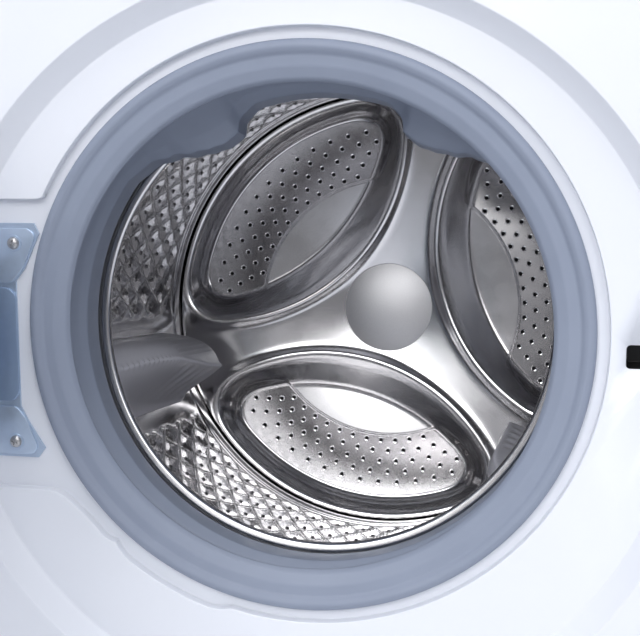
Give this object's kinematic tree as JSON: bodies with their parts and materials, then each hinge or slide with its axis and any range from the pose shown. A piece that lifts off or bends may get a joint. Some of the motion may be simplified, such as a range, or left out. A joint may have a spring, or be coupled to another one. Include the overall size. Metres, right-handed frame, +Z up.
{
  "type": "front load washing machine",
  "caption": "Free-standing front load washing machine with a round hinged door, moulded door gasket, leaning drum with lifters, control panel, detergent drawer and levelling feet.",
  "frame": {"origin": "on the floor, below the middle of the outline with the door open at a right angle", "axes": "+X to the right when facing the machine, +Y from the front to the back, +Z up"},
  "size_m": [0.686, 1.278, 0.983],
  "materials": {
    "white_paint": "gloss",
    "white_plastic": "semi-gloss",
    "grey_plastic": "satin",
    "pale_grey_plastic": "satin",
    "black_plastic": "satin",
    "dark_glass": "polished",
    "bowl_glass": "polished",
    "gasket_rubber": "matt",
    "black_rubber": "matt",
    "polished_steel": "polished",
    "brushed_steel": "satin",
    "zinc_steel": "passivated",
    "cast_aluminium": "as cast",
    "galvanised_steel": "galvanised",
    "concrete": "as cast",
    "tub_plastic": "moulded",
    "copper_winding": "varnished",
    "board": "satin"
  },
  "bodies": {
    "cabinet": {"base_pan": "galvanised_steel", "side_panel_left": "white_paint", "side_panel_right": "white_paint", "rear_panel": "galvanised_steel", "rear_service_cover": "galvanised_steel", "top_panel": "white_paint", "front_panel": "white_paint", "kick_panel": "white_plastic", "drain_pump": "tub_plastic", "control_fascia": "white_plastic", "display_window": "dark_glass", "control_board": "board", "dispenser_housing": "tub_plastic", "inlet_valve": "pale_grey_plastic", "door_lock": "black_plastic", "hinge_bracket": "zinc_steel", "hinge_pin": "zinc_steel", "door_gasket": "gasket_rubber", "spring_left": "brushed_steel", "spring_right": "brushed_steel", "damper_left": "grey_plastic", "damper_right": "grey_plastic", "sump_hose": "black_rubber", "fill_bellows": "black_rubber", "tub_front": "tub_plastic", "tub_rear": "tub_plastic", "counterweight_upper": "concrete", "counterweight_lower": "concrete", "shaft_seal": "black_rubber", "bearing_front": "brushed_steel", "bearing_rear": "brushed_steel", "stator": "copper_winding"},
    "door": {"door_outer_cover": "white_plastic", "door_window": "dark_glass", "door_inner_frame": "pale_grey_plastic", "door_bowl": "bowl_glass", "hinge_arm": "zinc_steel"},
    "latch": {"latch_hook": "zinc_steel"},
    "drum": {"drum_shell": "polished_steel", "drum_front_ring": "polished_steel", "drum_back": "polished_steel", "lifter_1": "grey_plastic", "lifter_2": "grey_plastic", "lifter_3": "grey_plastic", "hub_cap": "brushed_steel", "drum_spider": "cast_aluminium", "drum_shaft": "brushed_steel", "rotor": "galvanised_steel"},
    "drawer": {"detergent_drawer": "white_plastic"},
    "dial": {"cycle_dial": "pale_grey_plastic"},
    "power": {"power_button": "pale_grey_plastic"},
    "start": {"start_button": "pale_grey_plastic"},
    "option_1": {"option_button_1": "pale_grey_plastic"},
    "option_2": {"option_button_2": "pale_grey_plastic"},
    "flap": {"filter_flap": "white_plastic"},
    "filter": {"filter_cap": "grey_plastic"},
    "foot_a": {"foot_1": "black_rubber"},
    "foot_b": {"foot_2": "black_rubber"},
    "foot_c": {"foot_3": "black_rubber"},
    "foot_d": {"foot_4": "black_rubber"}
  },
  "joints": [
    {"name": "door_hinge", "type": "hinge", "parent": "cabinet", "child": "door", "pos_m": [-0.27, -0.085, 0.504], "axis": [0, 0, 1], "range_deg": [-15, 90]},
    {"name": "latch_pivot", "type": "hinge", "parent": "door", "child": "latch", "pos_m": [-0.253, -0.608, 0.511], "axis": [0, 0, 1], "range_deg": [-8, 8], "stiffness_Nm_per_rad": 0.5},
    {"name": "drum_spin", "type": "hinge", "parent": "cabinet", "child": "drum", "pos_m": [0, -0.051, 0.5283], "axis": [0, 0.9942, -0.1071], "continuous": true},
    {"name": "drawer_slide", "type": "slide", "parent": "cabinet", "child": "drawer", "axis": [0, -1, 0], "range_m": [0, 0.18]},
    {"name": "dial_turn", "type": "hinge", "parent": "cabinet", "child": "dial", "pos_m": [-0.06, -0.085, 0.9073], "axis": [0, 1, 0], "continuous": true},
    {"name": "power_press", "type": "slide", "parent": "cabinet", "child": "power", "axis": [0, 1, 0], "range_m": [0, 0.0015], "stiffness_N_per_m": 300, "springref_m": -0.001},
    {"name": "start_press", "type": "slide", "parent": "cabinet", "child": "start", "axis": [0, 1, 0], "range_m": [0, 0.0015], "stiffness_N_per_m": 300, "springref_m": -0.001},
    {"name": "option_1_press", "type": "slide", "parent": "cabinet", "child": "option_1", "axis": [0, 1, 0], "range_m": [0, 0.0015], "stiffness_N_per_m": 300, "springref_m": -0.001},
    {"name": "option_2_press", "type": "slide", "parent": "cabinet", "child": "option_2", "axis": [0, 1, 0], "range_m": [0, 0.0015], "stiffness_N_per_m": 300, "springref_m": -0.001},
    {"name": "flap_hinge", "type": "hinge", "parent": "cabinet", "child": "flap", "pos_m": [0.255, -0.0715, 0.0425], "axis": [1, 0, 0], "range_deg": [0, 100]},
    {"name": "filter_turn", "type": "hinge", "parent": "cabinet", "child": "filter", "pos_m": [0.255, -0.043, 0.074], "axis": [0, 1, 0], "range_deg": [0, 120]},
    {"name": "foot_a_turn", "type": "hinge", "parent": "cabinet", "child": "foot_a", "pos_m": [-0.297, -0.0067, 0.012], "axis": [0, 0, 1], "continuous": true},
    {"name": "foot_b_turn", "type": "hinge", "parent": "cabinet", "child": "foot_b", "pos_m": [-0.297, 0.5772, 0.012], "axis": [0, 0, 1], "continuous": true},
    {"name": "foot_c_turn", "type": "hinge", "parent": "cabinet", "child": "foot_c", "pos_m": [0.297, -0.0067, 0.012], "axis": [0, 0, 1], "continuous": true},
    {"name": "foot_d_turn", "type": "hinge", "parent": "cabinet", "child": "foot_d", "pos_m": [0.297, 0.5772, 0.012], "axis": [0, 0, 1], "continuous": true}
  ]
}
